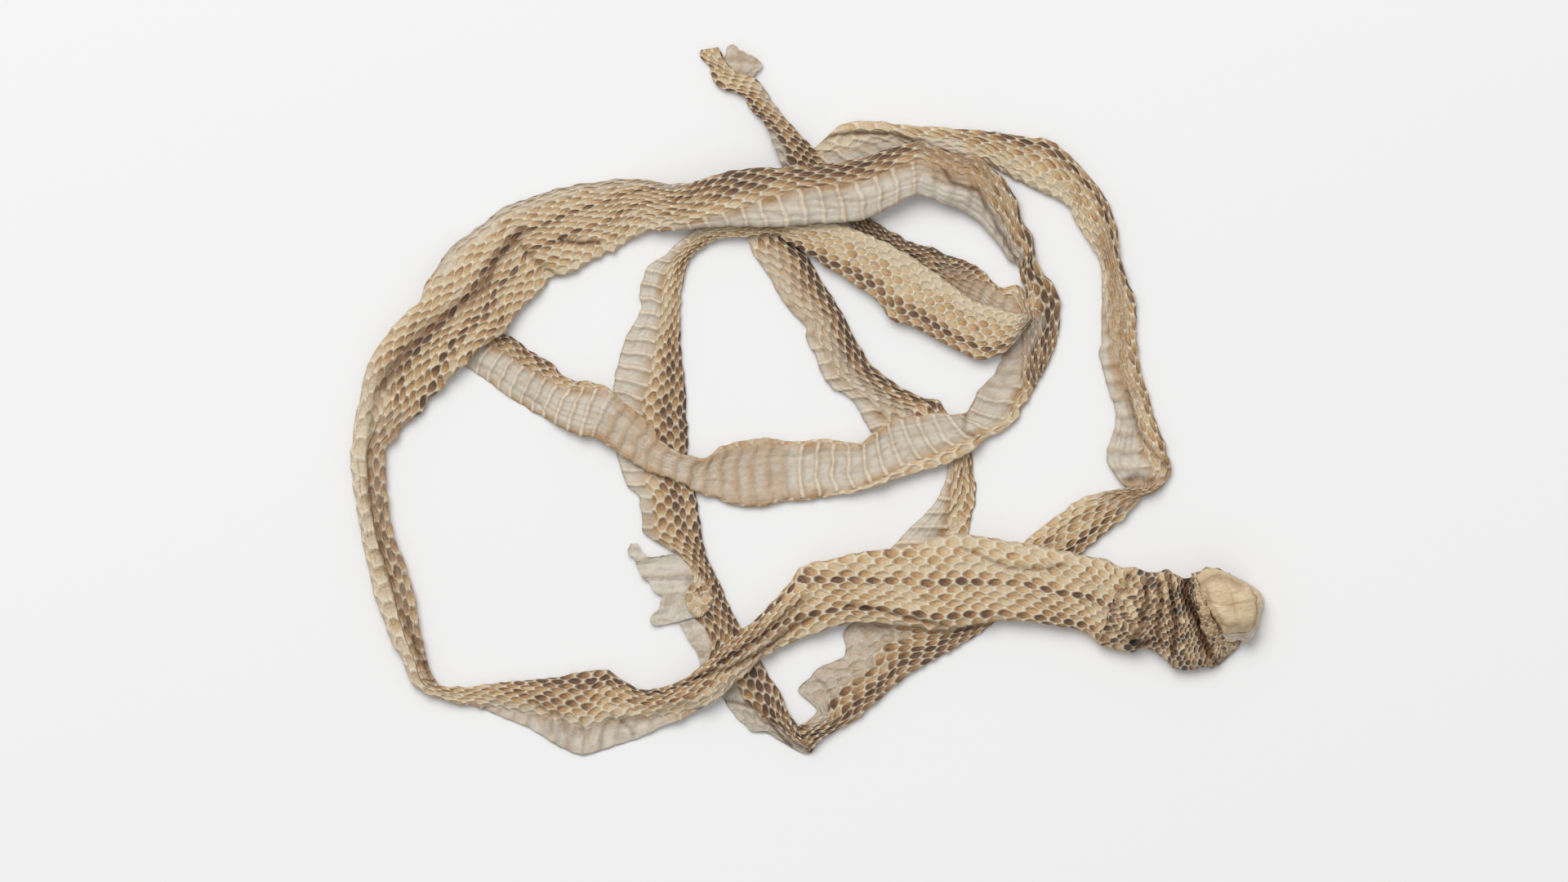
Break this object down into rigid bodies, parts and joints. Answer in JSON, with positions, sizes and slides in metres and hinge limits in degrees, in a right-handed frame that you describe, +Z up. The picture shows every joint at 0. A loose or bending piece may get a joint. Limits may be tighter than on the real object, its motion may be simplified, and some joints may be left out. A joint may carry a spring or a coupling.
{
  "type": "shed snake skin",
  "caption": "Dry shed snake skin lying flat in loose loops, with scaled back, broad belly scutes, open head end and pointed tail tip.",
  "frame": {"origin": "centre of the bounding box's bottom face, on the surface that the skin lies on", "axes": "+X along the longest extent, towards the head; +Y towards the tail tip's side; +Z up, the shortest extent"},
  "size_m": [0.2834, 0.2206, 0.012],
  "materials": {
    "dry_back_skin": "matte",
    "dry_belly_skin": "matte"
  },
  "bodies": {
    "root": {"head_length": "dry_back_skin", "tail_length": "dry_belly_skin"}
  },
  "joints": []
}
